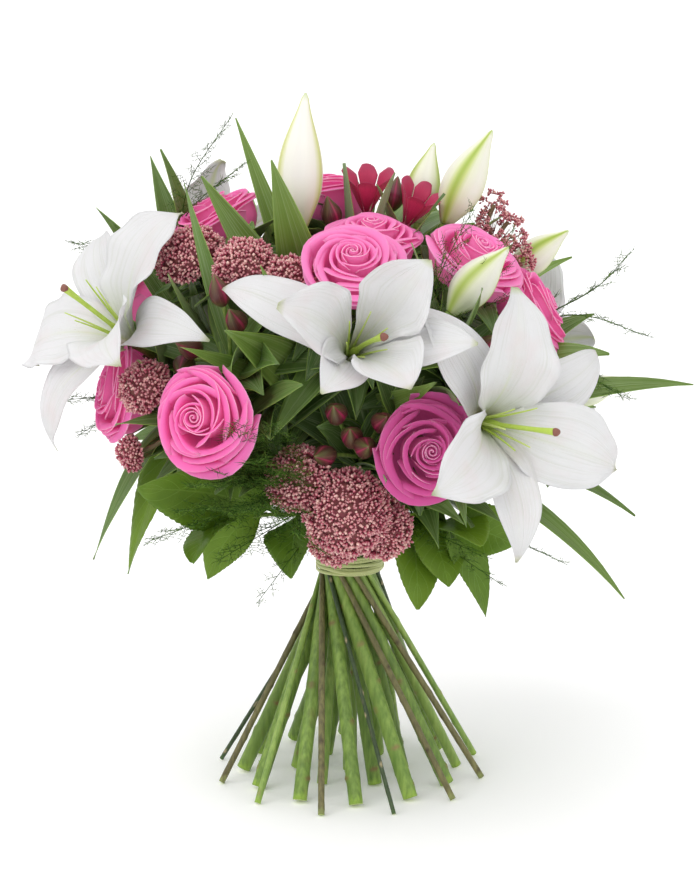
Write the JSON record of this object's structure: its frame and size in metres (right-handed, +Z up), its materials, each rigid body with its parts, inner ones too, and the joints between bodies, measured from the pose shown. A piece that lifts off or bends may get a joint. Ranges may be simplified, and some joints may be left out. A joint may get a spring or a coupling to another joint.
{
  "type": "mixed flower bouquet",
  "caption": "Hand-tied bouquet of white lilies, pink roses, rice flower and red alstroemeria with foliage, standing on its spiralled, square-cut stems under a raffia tie.",
  "frame": {"origin": "middle of the centre stem's cut end, on the surface that the bouquet stands on", "axes": "+Z up along the centre stem, the front of the bouquet faces -Y, +X to the viewer's right"},
  "size_m": [0.4768, 0.4461, 0.5111],
  "materials": {
    "rose_petal": "soft velvet pink with paler rolled rims",
    "rose_green": "smooth satin green stem, cup and leaf",
    "lily_petal": "matt white with greenish-yellow midribs",
    "lily_green": "satin green stem, leaves and closed buds",
    "rice_bud": "matt dusty pink with pale tips",
    "woody_stem": "matt olive-brown stem",
    "alstroemeria_red": "satin crimson to maroon with olive stripes",
    "alstroemeria_green": "satin green stem and leaves",
    "broadleaf_green": "satin dark green, net-veined",
    "fern_green": "matt dark green needles",
    "raffia": "matt pale green raffia strands"
  },
  "bodies": {
    "root": {"alstroemeria_front_flowers": "alstroemeria_red", "alstroemeria_front_stem": "alstroemeria_green", "alstroemeria_left_flowers": "alstroemeria_red", "alstroemeria_left_stem": "alstroemeria_green", "alstroemeria_right_flowers": "alstroemeria_red", "alstroemeria_right_stem": "alstroemeria_green", "alstroemeria_top_flowers": "alstroemeria_red", "alstroemeria_top_stem": "alstroemeria_green", "broadleaf_back": "broadleaf_green", "broadleaf_left": "broadleaf_green", "broadleaf_right": "broadleaf_green", "fern_back": "fern_green", "fern_front": "fern_green", "fern_right": "fern_green", "lily_back": "lily_green", "lily_back_bloom": "lily_petal", "lily_centre": "lily_green", "lily_centre_bloom": "lily_petal", "lily_centre_bud": "lily_petal", "lily_left": "lily_green", "lily_left_back_bloom": "lily_petal", "lily_left_bloom": "lily_petal", "lily_right": "lily_green", "lily_right_bloom": "lily_petal", "lily_right_bud": "lily_petal", "raffia_tie": "raffia", "rice_flower_back_heads": "rice_bud", "rice_flower_back_stem": "woody_stem", "rice_flower_front_heads": "rice_bud", "rice_flower_front_stem": "woody_stem", "rice_flower_left_heads": "rice_bud", "rice_flower_left_stem": "woody_stem", "rice_flower_right_heads": "rice_bud", "rice_flower_right_stem": "woody_stem", "rice_flower_top_heads": "rice_bud", "rice_flower_top_stem": "woody_stem", "rose_back_petals": "rose_petal", "rose_back_right_petals": "rose_petal", "rose_back_right_stem": "rose_green", "rose_back_stem": "rose_green", "rose_back_top_petals": "rose_petal", "rose_back_top_stem": "rose_green", "rose_centre_right_petals": "rose_petal", "rose_centre_right_stem": "rose_green", "rose_crown_petals": "rose_petal", "rose_crown_stem": "rose_green", "rose_far_left_petals": "rose_petal", "rose_far_left_stem": "rose_green", "rose_front_top_petals": "rose_petal", "rose_front_top_stem": "rose_green", "rose_left_back_petals": "rose_petal", "rose_left_back_stem": "rose_green", "rose_left_petals": "rose_petal", "rose_left_stem": "rose_green", "rose_left_top_petals": "rose_petal", "rose_left_top_stem": "rose_green", "rose_right_petals": "rose_petal", "rose_right_stem": "rose_green", "rose_right_top_petals": "rose_petal", "rose_right_top_stem": "rose_green"}
  },
  "joints": []
}
